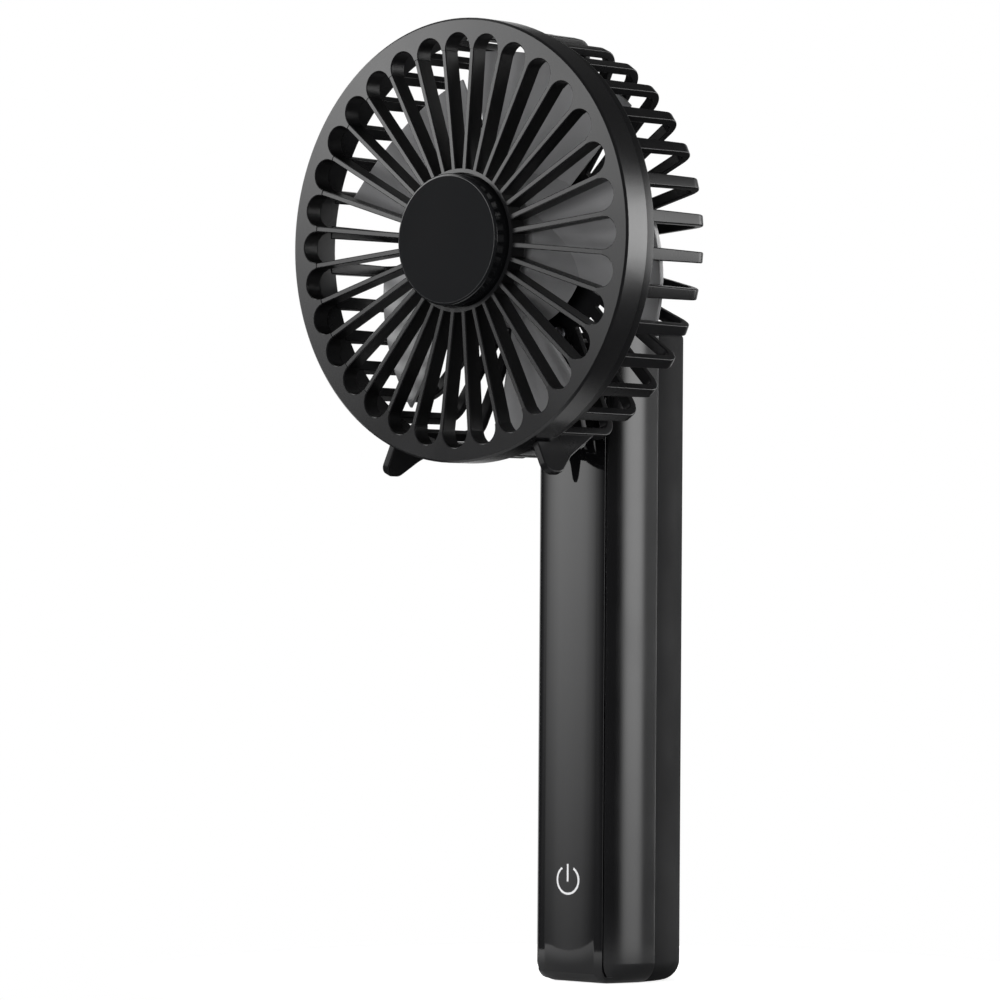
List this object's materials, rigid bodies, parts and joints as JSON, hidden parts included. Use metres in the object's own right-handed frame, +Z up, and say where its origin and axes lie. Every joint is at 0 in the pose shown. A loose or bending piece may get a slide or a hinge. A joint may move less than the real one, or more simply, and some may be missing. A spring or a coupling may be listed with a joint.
{
  "type": "folding hand fan",
  "caption": "Rechargeable hand fan: a caged round head with feet on a tilting hinge, carried by a bar handle that holds the cell, control board and charging socket.",
  "frame": {"origin": "middle of the handle's flat bottom face", "axes": "+Z up along the handle, -Y the way the fan blows with the head upright, +X to the right seen from the front"},
  "size_m": [0.104, 0.0741, 0.2274],
  "materials": {
    "shell_gloss": "polished black",
    "panel_gloss": "mirror-polished black",
    "cover_satin": "satin black",
    "grille_black": "satin black",
    "cap_black": "fine satin black",
    "cage_black": "semi-gloss black",
    "blade_grey": "satin dark grey",
    "neck_black": "satin black",
    "inner_plastic": "moulded black",
    "nylon": "natural nylon",
    "steel": "zinc plated",
    "cell_can": "shrink sleeve",
    "nickel": "nickel strip",
    "board_green": "solder mask",
    "lead_red": "insulated wire",
    "lead_black": "insulated wire",
    "touch_foam": "conductive foam",
    "lamination": "laminated steel",
    "copper": "enamelled winding",
    "magnet": "bonded ferrite",
    "bronze": "sintered bronze"
  },
  "bodies": {
    "handle": {"handle_body": "shell_gloss", "front_panel": "panel_gloss", "rear_cover": "cover_satin", "handle_screws": "steel", "battery_cell": "cell_can", "battery_tabs": "nickel", "battery_lead_positive": "lead_red", "battery_lead_negative": "lead_black", "main_board": "board_green", "board_screws": "steel", "usb_socket": "steel", "touch_pad": "touch_foam", "handle_lead": "lead_black", "hinge_bracket": "steel", "bracket_screws": "steel", "hinge_pin": "steel", "hinge_nut": "steel", "friction_washers": "nylon", "hinge_cover": "neck_black"},
    "head": {"front_grille": "grille_black", "hub_cap": "cap_black", "rear_cage": "cage_black", "rear_cap": "neck_black", "neck_arm": "neck_black", "neck_screws": "steel", "motor_lead": "lead_black", "motor_base": "inner_plastic", "motor_screws": "steel", "bearing_sleeve": "bronze", "stator_core": "lamination", "stator_coils": "copper", "motor_board": "board_green"},
    "rotor": {"impeller": "blade_grey", "rotor_cup": "steel", "magnet_ring": "magnet", "motor_shaft": "steel", "shaft_clip": "nylon"}
  },
  "joints": [
    {"name": "head_tilt", "type": "hinge", "parent": "handle", "child": "head", "pos_m": [0, -0.0084, 0.1497], "axis": [-1, 0, 0], "range_deg": [0, 90]},
    {"name": "impeller_spin", "type": "hinge", "parent": "head", "child": "rotor", "pos_m": [0, -0.0414, 0.1754], "axis": [0, 1, 0], "continuous": true}
  ]
}
